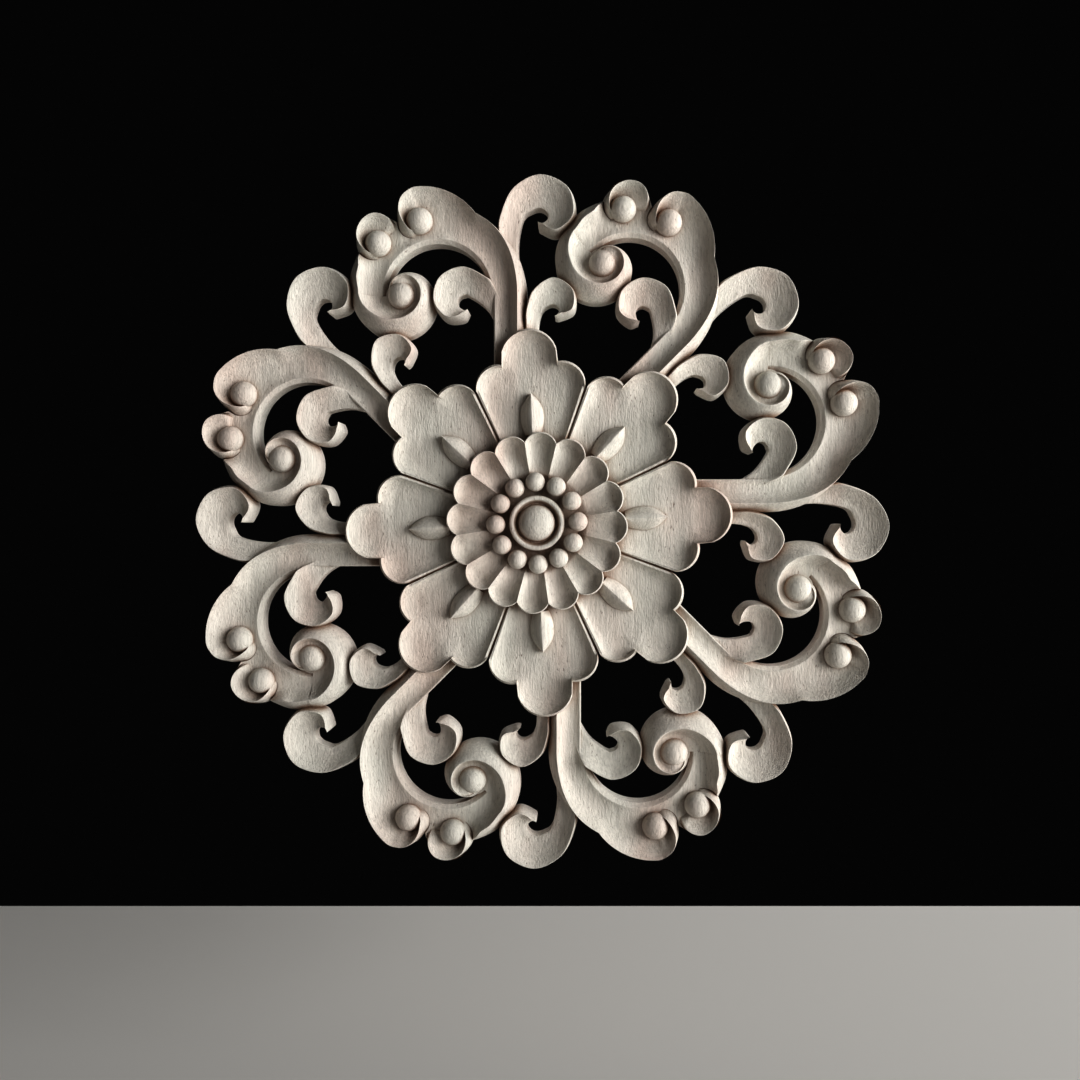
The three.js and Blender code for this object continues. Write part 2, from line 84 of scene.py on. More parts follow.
def ease(start: float, end: float, x: float, span: Sequence[float]) -> float:
    """Passes smoothly from one value to another.

    Args:
        start: The value before the span.
        end: The value after it.
        x: Where to read it.
        span: The two places between which it changes.

    Returns:
        The value at x.
    """
    share = min(max((x - span[0]) / (span[1] - span[0]), 0.0), 1.0)
    return lerp(start, end, share * share * (3 - 2 * share))


def along(values: Sequence, share: float) -> np.ndarray:
    """Reads a smooth curve through evenly spaced values.

    Args:
        values: Numbers or points that the curve passes through.
        share: The place along it, from 0 to 1.

    Returns:
        The value or point there.
    """
    points = np.asarray(values, float)
    last = len(points) - 1
    place = min(max(share, 0.0), 1.0) * last
    i = min(int(place), last - 1)
    t = place - i
    before = points[max(i - 1, 0)]
    after = points[min(i + 2, last)]
    start, end = points[i], points[i + 1]
    out, back = (end - before) / 2, (after - start) / 2
    bend = 2 * start - 2 * end + out + back
    rise = 3 * end - 3 * start - 2 * out - back
    return bend * t**3 + rise * t**2 + out * t + start


def reach(start: Point, angle: float, centre: Point, radius: float) -> float:
    """Measures how far a ray goes to the far side of a disc.

    Args:
        start: The point that the ray leaves.
        angle: Its direction in degrees.
        centre: The middle of the disc.
        radius: Its radius.

    Returns:
        The distance, or 0 where the ray misses.
    """
    dx, dy = centre[0] - start[0], centre[1] - start[1]
    near = dx * math.cos(math.radians(angle)) + dy * math.sin(math.radians(angle))
    inside = radius * radius - dx * dx - dy * dy + near * near
    return 0.0 if inside < 0 else near + math.sqrt(inside)


def crossing(first: Callable, second: Callable, span: Sequence[float]) -> float:
    """Finds where one rim takes over from another.

    Args:
        first: The reach of one rim at an angle.
        second: The reach of the other.
        span: Two angles with the crossing between them.

    Returns:
        The angle of the crossing in degrees.
    """
    low, high = span
    sign = first(low) > second(low)
    for _ in range(HALVINGS):
        middle = (low + high) / 2
        if (first(middle) > second(middle)) == sign:
            low = middle
        else:
            high = middle
    return (low + high) / 2


def hollow(start: Point, end: Point, power: float, count: int) -> Profile:
    """Draws a concave slope that is steepest at its start.

    Args:
        start: Inset and height where it starts.
        end: Inset and height where it levels out.
        power: How hollow it is, from 1 for a straight slope.
        count: How many points it has, its start left out.

    Returns:
        The points after the start.
    """
    shares = [(i + 1) / count for i in range(count)]
    return [(lerp(start[0], end[0], s), lerp(end[1], start[1], (1 - s) ** power)) for s in shares]


def swell(start: Point, end: Point, fullness: float, count: int) -> Profile:
    """Draws a slope between two points that stands out between them.

    Args:
        start: Inset and height where it starts.
        end: Inset and height where it ends.
        fullness: How round it is, from 0 for straight to 1 for a quarter of an ellipse.
        count: How many points it has, its start left out.

    Returns:
        The points after the start.
    """
    points = []
    for i in range(count):
        s = (i + 1) / count
        bulge = lerp(s, math.sin(math.pi / 2 * s), fullness)
        points.append((lerp(start[0], end[0], s), lerp(start[1], end[1], bulge)))
    return points


def soften(profile: Profile, corner: int, size: float) -> Profile:
    """Rounds one corner of a profile with three points.

    Args:
        profile: The points of the profile.
        corner: Which one is rounded.
        size: How far along each side the rounding reaches, in millimetres.

    Returns:
        The profile with the corner's point replaced.
    """
    here = np.array(profile[corner])
    sides = []
    for other in (profile[corner - 1], profile[corner + 1]):
        way = np.array(other) - here
        length = float(np.hypot(*way))
        sides.append(here + way * min(size, length * 0.45) / max(length, 1e-6))
    top = (sides[0] + 2 * here + sides[1]) / 4
    return profile[:corner] + [tuple(sides[0]), tuple(top), tuple(sides[1])] + profile[corner + 1:]


def section(outer: Point, inner: Point, profile: Profile) -> np.ndarray:
    """Stands a profile up across a band.

    Args:
        outer: The band's outer edge on the plan.
        inner: Its inner edge.
        profile: Insets from the outer edge and heights above the back.

    Returns:
        A closed ring of points, from the outer foot over the carved face to the inner foot.
    """
    start, way = np.array(outer), np.array(inner) - np.array(outer)
    length = float(np.hypot(*way))
    ring = [(*outer, 0.0)]
    ring += [(*(start + way * inset / length), rise) for inset, rise in profile]
    ring.append((*inner, 0.0))
    return np.array(ring)


def spoke(angle: float, marks: Profile) -> list[Place]:
    """Stands a profile of radii and heights up along a ray from the rosette's middle."""
    return [(*polar((0, 0), radius, angle), rise) for radius, rise in marks]


@dataclass(frozen=True)
class Rim:
    """How a rim is shaped: a wall that swells to a rounded crest, and a hollow slope behind it."""

    fullness: float
    wall_points: int
    power: float
    slope_points: int
    rounding: float

    def profile(self, crest: Point, foot: Point) -> Profile:
        """Draws the wall, the crest and the slope down to its foot.

        Args:
            crest: Inset and height of the crest.
            foot: Inset and height where the slope levels out.

        Returns:
            Insets and heights from the wall's lower edge to the slope's foot.
        """
        wall = (0.0, height(WALL_DEPTH))
        marks = [wall] + swell(wall, crest, self.fullness, self.wall_points)
        marks += hollow(crest, foot, self.power, self.slope_points)
        return soften(marks, self.wall_points, self.rounding)


def deselect_all() -> None:
    """Leaves nothing selected, so that an operator acts on the new piece alone."""
    bpy.ops.object.select_all(action="DESELECT")


def activate(obj: Body) -> None:
    """Makes one object the only selected and the active one."""
    deselect_all()
    obj.select_set(True)
    bpy.context.view_layer.objects.active = obj


def settled(name: str) -> Body:
    """Names the active object and moves its place and turn into its mesh."""
    bpy.ops.object.transform_apply(location=True, rotation=True, scale=True)
    obj = bpy.context.active_object
    obj.name = name
    return obj


def rolled(name: str, rings: np.ndarray, endless: bool = False) -> Body:
    """Rolls a flat grid up into a closed band through rings of points.

    Args:
        name: The new object's name.
        rings: Points in millimetres, by ring and by place round it.
        endless: Whether the last ring runs on into the first.

    Returns:
        The band, closed and with its faces outwards.
    """
    rings = np.concatenate([rings, rings[:, :1]], axis=1)
    if endless:
        rings = np.concatenate([rings, rings[:1]], axis=0)
    count, around = rings.shape[:2]
    deselect_all()
    bpy.ops.mesh.primitive_grid_add(x_subdivisions=around - 1, y_subdivisions=count - 1, size=1)
    band = bpy.context.active_object
    band.name = name
    if len(band.data.vertices) != count * around:
        raise RuntimeError(f"{name}: the grid has {len(band.data.vertices)} points, not {count * around}")
    flat = rings.reshape(-1, 3)
    placed = np.column_stack([flat[:, 0], -flat[:, 2], flat[:, 1]]) * MM
    band.data.vertices.foreach_set("co", placed.ravel())
    bpy.ops.object.mode_set(mode="EDIT")
    bpy.ops.mesh.select_all(action="SELECT")
    bpy.ops.mesh.remove_doubles(threshold=WELD_WITHIN)
    bpy.ops.mesh.select_all(action="SELECT")
    bpy.ops.mesh.delete_loose()
    bpy.ops.mesh.select_all(action="SELECT")
    bpy.ops.mesh.fill_holes(sides=0)
    bpy.ops.mesh.select_all(action="SELECT")
    bpy.ops.mesh.normals_make_consistent(inside=False)
    bpy.ops.object.mode_set(mode="OBJECT")
    return band


def sphere(name: str, at: Point, radius: float, middle: float, sides: int) -> Body:
    """Adds a ball at its size and place.

    Args:
        name: The new object's name.
        at: Its place on the plan in millimetres.
        radius: Its radius in millimetres.
        middle: The height of its middle above the back.
        sides: How many sides it has round.

    Returns:
        The ball, with its place in its mesh.
    """
    deselect_all()
    place = (at[0] * MM, -middle * MM, at[1] * MM)
    bpy.ops.mesh.primitive_uv_sphere_add(
        segments=sides, ring_count=sides // 2, radius=radius * MM, location=place,
        rotation=(math.pi / 2, 0, 0))
    return settled(name)


def plug(name: str, at: Point, radius: float, top: float, sides: int) -> Body:
    """Adds a plain round slab that stands on the back.

    Args:
        name: The new object's name.
        at: Its place on the plan in millimetres.
        radius: Its radius in millimetres.
        top: The height of its top above the back.
        sides: How many sides it has round.

    Returns:
        The slab, with its place in its mesh.
    """
    deselect_all()
    place = (at[0] * MM, -top / 2 * MM, at[1] * MM)
    bpy.ops.mesh.primitive_cylinder_add(
        vertices=sides, radius=radius * MM, depth=top * MM, location=place, rotation=(math.pi / 2, 0, 0))
    return settled(name)


class Join(Enum):
    """How one body is set against another."""

    ADD = "UNION"
    CUT = "DIFFERENCE"


def joined(body: Body, others: Sequence[Body], how: Join) -> Body:
    """Joins bodies to another or cuts them from it.

    Args:
        body: The body that stays.
        others: The bodies that are used up.
        how: Whether they are added or cut away.

    Returns:
        The body, changed.
    """
    for other in others:
        activate(body)
        modifier = body.modifiers.new(how.name.lower(), "BOOLEAN")
        modifier.object = other
        modifier.operation = how.value
        modifier.solver = "MANIFOLD"
        before = len(body.data.polygons)
        bpy.ops.object.modifier_apply(modifier=modifier.name)
        if len(body.data.polygons) == 0:
            raise RuntimeError(f"{body.name}: nothing left after {other.name}, from {before} faces")
        bpy.data.objects.remove(other)
    return body


def turned(body: Body, angle: float, name: str) -> Body:
    """Copies a body round the middle of the rosette.

    Args:
        body: The body to copy.
        angle: The turn in degrees, towards the left seen from the front.
        name: The copy's name.

    Returns:
        The copy, with its own mesh and its place in it.
    """
    activate(body)
    bpy.ops.object.duplicate()
    bpy.context.active_object.rotation_euler = (0, -math.radians(angle), 0)
    return settled(name)


@dataclass
class Ball:
    """A ball that ends a lobe or the volute, with its top a depth below the face."""

    name: str
    at: Point
    radius: float
    depth: float
    sides: int = 28

    def build(self) -> Body:
        """Adds the ball."""
        return sphere(self.name, self.at, self.radius, height(self.depth) - self.radius, self.sides)


@dataclass
class LobeScroll:
    """The end of a lobe: its rim curls in round a ball, and its flank drops to the wood below.

    The lists run along the curl from its start to its end, as radii about the ball or as depths.
    """

    ball: Ball
    span: Point
    edge: Sequence[float]
    crest: Sequence[float]
    crest_depth: Sequence[float]
    groove_depth: Sequence[float]
    gap: float = 0.02
    fade: float = 0.14
    fade_height: float = 5.0
    core: float = 0.5
    clear: float = 1.0
    least_rim: float = 0.6
    least_slope: float = 0.3
    least_drop: float = 0.2
    overlap: float = 0.1
    rim: Rim = Rim(0.55, 5, 1.7, 6, 0.35)
    steps: int = 44

    def rings(self, shift: float) -> np.ndarray:
        """Lists the sections of the curl.

        Args:
            shift: How far the carved face is moved up at the two ends, in millimetres.

        Returns:
            Points by section and by place across it, from the flank's foot to under the ball.
        """
        rings = []
        for i in range(self.steps + 1):
            share = i / self.steps
            angle = lerp(*self.span, share)
            edge = float(along(self.edge, share))
            crest = min(float(along(self.crest, share)), edge - self.least_rim)
            groove = min(self.ball.radius - self.overlap, crest - self.least_slope)
            top = height(float(along(self.crest_depth, share)))
            bottom = min(height(float(along(self.groove_depth, share))), top - self.least_drop)
            marks = self.rim.profile((edge - crest, top), (edge - groove, bottom))
            marks.append((edge - self.core, bottom))
            away = 1 - ease(0, 1, share, (0, self.fade)) * ease(1, 0, share, (1 - self.fade, 1))
            moved = [(inset, rise + shift * away) for inset, rise in marks]
            inner = polar(self.ball.at, self.core, angle)
            rings.append(section(polar(self.ball.at, edge, angle), inner, moved))
        return np.array(rings)

    def body(self) -> Body:
        """Builds the curl, which sinks into the wood at both ends."""
        return rolled("lobe_scroll", self.rings(-self.fade_height))

    def room(self) -> Body:
        """Builds the room that is cut for the curl, from just under its face up to above the board."""
        rings = self.rings(self.fade_height)
        rings[:, 1:-1, 2] -= self.gap
        rings[:, [0, -1], 2] = BOARD + self.fade_height + self.clear
        return rolled("lobe_room", rings)


@dataclass
class ScrollBand:
    """The band of an arm: its stem, the shoulder with its leaf and lobe, and the left side."""

    opening_at: Point = (-42.0, 95.8)
    opening_radius: float = 21.5
    stem_inner_radius: float = 23.8
    stem_foot: float = 58.0
    band_radius: float = 37.4
    band_radius_left: float = 38.3
    channel_radius: float = 27.3
    channel_spread: float = 0.3
    rim_bevel: float = 3.6
    leaf_bevel: float = 0.9
    ridge_width: float = 1.8
    stem_ridge_width: float = 0.5
    rim_depth: float = 7.0
    leaf_depth: float = 5.6
    channel_depth: float = 12.0
    ridge_depth: float = 10.8
    leaf_at: Point = (-47.9, 111.9)
    leaf_radius: float = 28.5
    leaf_turn: float = 93.3
    tip_radius: float = 10.3
    lobe_at: Point = (-67.2, 120.2)
    lobe_radius: float = 9.7
    notch_radius: float = 35.0
    notch_dip: float = 5.4
    notch_dip_turn: float = 5.0
    volute_at: Point = VOLUTE_AT
    volute_edge: float = 21.8
    volute_crest: float = 17.5
    volute_groove: float = 10.4
    rim: Rim = Rim(0.3, 4, 2.7, 9, 0.25)
    ridge_round: float = 0.15
    ridge_power: float = 1.8
    ridge_points: int = 4
    ridge_fullness: float = 0.4
    ridge_fall: float = 0.8
    ridge_left: float = 0.1
    notch_spans: Sequence[Point] = ((50, 80), (105, 128), (140, 165))
    bevel_span: Point = (5, 55)
    rim_span: Point = (30, 80)
    foot_span: Point = (0, 15)
    left_span: Point = (165, 180)
    channel_span: Point = (150, 180)
    ridge_span: Point = (158, 176)
    left_bevel_turn: float = 12.0
    end: float = 181.0
    foot_steps: int = 4
    step: float = 2.5

    def __post_init__(self) -> None:
        """Works out where one rim gives way to the next."""
        self.to_volute = self.opening_at[0] - self.volute_at[0]
        self.leaf_tip = polar(self.leaf_at, self.leaf_radius - self.tip_radius, self.leaf_turn)
        passing = polar(self.leaf_at, self.leaf_radius, self.leaf_turn)
        self.passing_angle = math.degrees(
            math.atan2(passing[1] - self.opening_at[1], passing[0] - self.opening_at[0]))
        rims = (self.stem, self.leaf, self.lobe, self.left)
        self.notches = [crossing(*pair) for pair in zip(rims, rims[1:], self.notch_spans)]

    def stem(self, _angle: float) -> float:
        """Gives the rim of the stem and the shoulder."""
        return self.band_radius

    def leaf(self, angle: float) -> float:
        """Gives the rim of the leaf at an angle about the opening."""
        if angle < self.passing_angle:
            return reach(self.opening_at, angle, self.leaf_at, self.leaf_radius)
        return max(reach(self.opening_at, angle, self.leaf_tip, self.tip_radius), self.notch_radius)

    def lobe(self, angle: float) -> float:
        """Gives the rim of the second lobe."""
        return max(reach(self.opening_at, angle, self.lobe_at, self.lobe_radius), self.notch_radius)

    def left(self, angle: float) -> float:
        """Gives the rim of the left side, down to the volute."""
        return ease(self.band_radius_left, self.volute_edge + self.to_volute, angle, self.left_span)

    def profile(self, edge: float, angle: float) -> tuple[Profile, float]:
        """Draws the band's carved face at one place.

        Args:
            edge: How far its rim stands from the middle of the opening.
            angle: Where it is, as an angle about that middle.

        Returns:
            Insets and heights from the outer wall to the inner one, and the inner radius.
        """
        on_stem = ease(self.rim_bevel, self.leaf_bevel, angle, self.bevel_span)
        beside_notch = (self.notches[2], self.notches[2] + self.left_bevel_turn)
        on_left = ease(self.leaf_bevel, self.volute_edge - self.volute_crest, angle, beside_notch)
        bevel = max(on_stem, on_left)
        top = height(ease(self.rim_depth, self.leaf_depth, angle, self.rim_span))
        near = [(angle - at) / self.notch_dip_turn for at in self.notches[1:]]
        top -= sum(self.notch_dip * math.exp(-turns ** 2) for turns in near)
        beside = self.channel_radius + max(0.0, edge - self.band_radius) * self.channel_spread
        channel = ease(beside, self.volute_groove + self.to_volute, angle, self.channel_span)
        inner = ease(self.stem_inner_radius, self.opening_radius, angle, self.foot_span)
        ridge = inner + ease(self.stem_ridge_width, self.ridge_width, angle, self.foot_span)
        floor = (edge - channel, height(self.channel_depth))
        level = ease(self.ridge_depth, self.channel_depth - self.ridge_left, angle, self.ridge_span)
        crest = (edge - ridge, height(level))
        marks = self.rim.profile((bevel, top), floor)
        marks += hollow(crest, floor, self.ridge_power, self.ridge_points)[::-1][1:] + [crest]
        drop = (edge - inner, crest[1] - (ridge - inner) * self.ridge_fall)
        marks += swell(crest, drop, self.ridge_fullness, 2)
        return soften(marks, len(marks) - 3, self.ridge_round), inner

    def build(self) -> Body:
        """Builds the band from the stem's foot to the volute."""
        stops = [0.0, *self.notches, self.end]
        stretches = zip((self.stem, self.leaf, self.lobe, self.left), stops, stops[1:])
        rings = []
        marks, inner = self.profile(self.band_radius, 0.0)
        for i in range(self.foot_steps):
            at = (self.opening_at[0], lerp(self.stem_foot, self.opening_at[1], i / self.foot_steps))
            rings.append(section(polar(at, self.band_radius, 0), polar(at, inner, 0), marks))
        for number, (edge, start, end) in enumerate(stretches):
            count = max(2, round((end - start) / self.step))
            for i in range(0 if number == 0 else 1, count + 1):
                angle = lerp(start, end, i / count)
                marks, inner = self.profile(edge(angle), angle)
                outer_at = polar(self.opening_at, edge(angle), angle)
                rings.append(section(outer_at, polar(self.opening_at, inner, angle), marks))
        return rolled("scroll_band", np.array(rings))


@dataclass
class Volute:
    """The volute that ends the band: radii at each eighth of a turn from the left, going round."""

    at: Point = VOLUTE_AT
    edge: Sequence[float] = (21.8, 19.8, 17.6, 15.5, 13.7, 12.0, 10.0, 8.0, 5.6)
    crest: Sequence[float] = (17.5, 13.2, 10.2, 8.9, 8.6, 8.5, 7.7, 5.9, 4.0)
    crest_depth: Sequence[float] = (5.6, 5.6, 5.6, 5.6, 5.6, 5.6, 5.6, 7.4, 11)
    groove: Sequence[float] = (10.4, 7.4, 6.8, 6.7, 6.5, 6.5, 6.3, 6.0, 4.9)
    groove_depth: Sequence[float] = (12, 11.3, 10.2, 9.2, 8.8, 8.4, 7.0, 8.0, 11.2)
    core: float = 2.2
    least_drop: float = 0.1
    rim: Rim = Rim(0.5, 6, 2.0, 6, 0.4)
    start: float = 179.0
    steps: int = 100

    def build(self) -> Body:
        """Builds the volute round its ball."""
        end = 180 + EIGHTH * (len(self.edge) - 1)
        rings = []
        for i in range(self.steps + 1):
            share = i / self.steps
            angle = lerp(self.start, end, share)
            edge = float(along(self.edge, share))
            crest_in = edge - float(along(self.crest, share))
            groove_in = edge - float(along(self.groove, share))
            top = height(float(along(self.crest_depth, share)))
            bottom = min(height(float(along(self.groove_depth, share))), top - self.least_drop)
            marks = self.rim.profile((crest_in, top), (groove_in, bottom))
            marks.append((edge - self.core, bottom))
            rings.append(section(polar(self.at, edge, angle), polar(self.at, self.core, angle), marks))
        return rolled("volute", np.array(rings))


@dataclass
class Hook:
    """A scooped band that rises to its outer rim and curls in round its eye to a thin tip."""

    name: str
    eye: Point
    start: float
    turn: float
    outer: Sequence[float]
    inner: Sequence[float]
    foot: Sequence[tuple[Point, Point]]
    tip: Point
    rim_depth: float
    edge_depth: float
    bevel: float = 1.1
    tip_bevel: float = 1.9
    tip_width: float = 0.5
    tip_span: Point = (0.74, 0.97)
    edge_bevel: float = 1.0
    edge_fall: float = 0.5
    bevel_share: float = 0.55
    edge_share: float = 0.25
    rising: Point = (0.0, 0.2)
    rim: Rim = Rim(0.5, 3, 1.75, 8, 0.35)
    steps: int = 72

    def side(self, which: int, radii: Sequence[float]) -> np.ndarray:
        """Lists the points that one side passes through, from its foot to its tip."""
        points = [corners[which] for corners in self.foot]
        points += [polar(self.eye, radius, self.start + self.turn * i) for i, radius in enumerate(radii)]
        points.append(polar(self.eye, self.tip[0] + self.tip_width * (0.5 - which), self.tip[1]))
        return np.array(points)

    def build(self) -> Body:
        """Builds the hook from its foot to its tip."""
        outer, inner = self.side(0, self.outer), self.side(1, self.inner)
        rings = []
        for i in range(self.steps + 1):
            share = i / self.steps
            a, b = along(outer, share), along(inner, share)
            width = float(np.hypot(*(b - a)))
            bevel = ease(self.bevel, self.bevel + self.tip_bevel, share, self.tip_span)
            bevel = min(bevel, width * self.bevel_share)
            edge_bevel = min(self.edge_bevel, width * self.edge_share)
            top = height(ease(self.edge_depth, self.rim_depth, share, self.rising))
            low = height(self.edge_depth)
            marks = self.rim.profile((bevel, top), (width - edge_bevel, low))
            marks.append((width, low - edge_bevel * self.edge_fall))
            rings.append(section(tuple(a), tuple(b), marks))
        return rolled(self.name, np.array(rings))


@dataclass
class Arm:
    """One scrolled arm, with its band, volute, balls and hooks."""

    band: ScrollBand = field(default_factory=ScrollBand)
    volute: Volute = field(default_factory=Volute)
    volute_ball: Ball = field(default_factory=lambda: Ball("volute_ball", VOLUTE_AT, 5.9, 4.6))
    heart_radius: float = 7.1
    heart_top: float = 7.9
    heart_sides: int = 36
    scrolls: Sequence[LobeScroll] = (
        LobeScroll(
            Ball("tip_ball", (-49.4, 126.4), 5.6, 5.0), (50, 300),
            edge=(16.0, 13.9, 13.8, 12.7, 11.1, 9.7, 9.5, 8.6, 7.2, 6.2, 5.6),
            crest=(15.0, 12.8, 12.6, 11.5, 9.3, 7.2, 5.9, 5.4, 4.8, 4.6, 4.4),
            crest_depth=(5.6, 5.6, 5.6, 5.4, 5.4, 5.4, 5.8, 7.2, 9.2, 10.6, 11),
            groove_depth=(10.2, 9.8, 9.8, 10, 10.8, 11.2, 10.6, 9.6, 10, 11, 11.4), fade=0.26),
        LobeScroll(
            Ball("lobe_ball", (-66.8, 117.2), 5.5, 5.0), (20, 295),
            edge=(9.0, 10.6, 12.1, 12.7, 12.2, 11.1, 10.0, 9.4, 8.4, 7.1, 6.2, 5.6),
            crest=(8.0, 9.4, 11.0, 11.7, 10.9, 9.6, 8.2, 6.7, 5.6, 4.9, 4.6, 4.4),
            crest_depth=(10.5, 8.8, 6.4, 5.6, 5.5, 5.5, 5.5, 5.8, 7.0, 9.2, 10.6, 11),
            groove_depth=(10, 10, 10, 10, 10.4, 10.8, 11.2, 10.8, 9.8, 10, 11, 11.4)),
    )
    hooks: Sequence[Hook] = (
        Hook(
            "outer_hook", (1.3, 127.8), 180, -EIGHTH,
            (17.4, 16.7, 17.5, 16.9, 14.7, 10.2, 4.9), (7.6, 5.0, 4.2, 3.6, 3.1, 2.4, 2.2),
            (((-13.6, 106), (-6, 100)), ((-16.6, 119), (-8.2, 115))), (3.2, -108), 7.4, 12.4),
        Hook(
            "tip_hook", (6.7, 89), 180, -EIGHTH,
            (11.9, 12.2, 13.8, 12.2, 9.0, 4.5), (4.8, 3.1, 2.6, 2.4, 2.4, 2.2),
            (((-5.9, 74), (0.3, 74)), ((-5.5, 82), (0.4, 83.5))), (3.1, -78), 7.8, 11.8, steps=56),
        Hook(
            "inner_hook", (-31.3, 93.2), EIGHTH, EIGHTH,
            (14.2, 14.5, 14.2, 12.9, 10.9, 7.9), (3.6, 2.8, 2.6, 2.6, 2.7, 3.4),
            (((-14.6, 92), (-15.5, 80)), ((-18.3, 100.3), (-21.5, 90.2))), (4.8, 299), 7.6, 12.4, steps=60),
    )

    def build(self) -> Body:
        """Builds the arm as one body."""
        body = joined(self.band.build(), [scroll.room() for scroll in self.scrolls], Join.CUT)
        heart = plug("volute_heart", self.volute.at, self.heart_radius, self.heart_top, self.heart_sides)
        parts = [self.volute.build(), heart, self.volute_ball.build()]
        for scroll in self.scrolls:
            parts += [scroll.body(), scroll.ball.build()]
        parts += [hook.build() for hook in self.hooks]
        return joined(body, parts, Join.ADD)


@dataclass
class BigPetals:
    """Eight petals of three lobes each, hollow inside their rims, with a groove between neighbours."""

    turn: float = 2.7
    tip: Place = (FLOWER_REACH - 11.9, 0.0, 11.9)
    side: Place = (FLOWER_REACH - 23.8, 13.1, 9.8)
    heart: Place = (44.0, 0.0, 24.0)
    notch_span: Point = (5, 18)
    inner_radius: float = 32.5
    rim_width: float = 1.1
    bevel: float = 1.2
    shoulder: float = 0.35
    shoulder_drop: float = 0.9
    edge_drop: float = 2.4
    rim_depth: float = 5.4
    bowl_depth: float = 10.4
    bowl_reach: float = 9.0
    bowl_power: float = 2.2
    blend: float = 2.6
    groove_depth: float = 9.6
    groove_width: float = 0.75
    lip_width: float = 1.5
    lip_fade: float = 0.6
    lip_height: float = 0.5
    lift_beside_groove: float = 3.2
    lift_reach: float = 7.0
    lift_power: float = 2.5
    lift_start: Point = (33.0, 37.5)
    rays: int = 26
    rings: int = 22

    def edge(self, away: float) -> float:
        """Gives the outline's distance from the middle at an angle from a petal's axis."""
        return max(reach((0, 0), away, lobe[:2], lobe[2]) for lobe in (self.tip, self.side))

    def rise(self, radius: float, away: float) -> float:
        """Gives the carved height inside the rim.

        Args:
            radius: Distance from the rosette's middle.
            away: Angle from the petal's axis in degrees, never negative.

        Returns:
            The height above the back.
        """
        x, y = radius * math.cos(math.radians(away)), radius * math.sin(math.radians(away))
        depths = []
        for out, across, size in (self.tip, self.side, self.heart):
            depths.append(size - math.hypot(x - out, y - across))
            if across:
                depths.append(size - math.hypot(x - out, y + across))
        inside = self.blend * math.log(sum(math.exp(depth / self.blend) for depth in depths))
        share = min(max(inside / self.bowl_reach, 0.0), 1.0)
        bowl, rim = height(self.bowl_depth), height(self.rim_depth)
        value = lerp(bowl, rim, (1 - share) ** self.bowl_power)
        beside = radius * math.sin(math.radians(HALF - away))
        lift = self.lift_beside_groove * max(0.0, 1 - beside / self.lift_reach) ** self.lift_power
        lift *= 1 - (value - bowl) / (rim - bowl)
        lip = self.lip_height * ease(1, 0, beside, (self.lip_width, self.lip_width + self.lip_fade))
        value += (lift + lip) * ease(0, 1, radius, self.lift_start)
        cut = max(0.0, 1 - beside / self.groove_width)
        return lerp(value, min(value, height(self.groove_depth)), cut)

    def shares(self) -> list[float]:
        """Lists the rays across half a petal, closer at its notch and at the groove."""
        notch = crossing(
            lambda away: reach((0, 0), away, self.tip[:2], self.tip[2]),
            lambda away: reach((0, 0), away, self.side[:2], self.side[2]), self.notch_span) / HALF
        first = np.linspace(0, notch, self.rays // 2 - 3)
        second = np.linspace(notch, 1, self.rays // 2 - 1)[1:]
        last = 1 - (1 - second) ** 1.3 * (1 - notch) ** -0.3
        return [*first, *last]

    def room(self) -> Body:
        """Builds all the space inside the petals' rims, to clear the arms' feet out of it."""
        rings = []
        for petal in range(ARMS):
            axis = 90 + self.turn + SECTOR * petal
            for share in np.linspace(-1, 1, 2 * self.rays, endpoint=False):
                edge = self.edge(HALF * abs(share)) - self.bevel - self.rim_width / 2
                top = BOARD + 1
                marks = [(self.inner_radius, -1), (self.inner_radius, top), (edge, top), (edge, -1)]
                rings.append(spoke(axis + HALF * share, marks))
        return rolled("petal_room", np.array(rings), endless=True)

    def build(self) -> Body:
        """Builds all the petals as one relief with its underside on the back."""
        shares = self.shares()
        rings = []
        for petal in range(ARMS):
            axis = 90 + self.turn + SECTOR * petal
            for share in [-s for s in shares[:0:-1]] + shares[:-1]:
                away = HALF * abs(share)
                edge = self.edge(away)
                marks = [(self.inner_radius, 0.0)]
                inner_stop = edge - self.bevel - self.rim_width
                for i in range(self.rings + 1):
                    radius = lerp(self.inner_radius, inner_stop, (i / self.rings) ** 0.8)
                    marks.append((radius, self.rise(radius, away)))
                rim = max(self.rise(edge - self.bevel - self.rim_width * 0.5, away), marks[-1][1])
                low = abs(share) > 0.999
                crest = height(self.groove_depth) if low else height(self.rim_depth)
                marks += [
                    (edge - self.bevel - self.rim_width * 0.35, min(rim + 0.3, crest)),
                    (edge - self.bevel, crest),
                    (edge - self.bevel * self.shoulder, crest - self.shoulder_drop),
                    (edge, crest - self.edge_drop), (edge, 0.0)]
                rings.append(spoke(axis + HALF * share, marks))
        return rolled("big_petals", np.array(rings), endless=True)


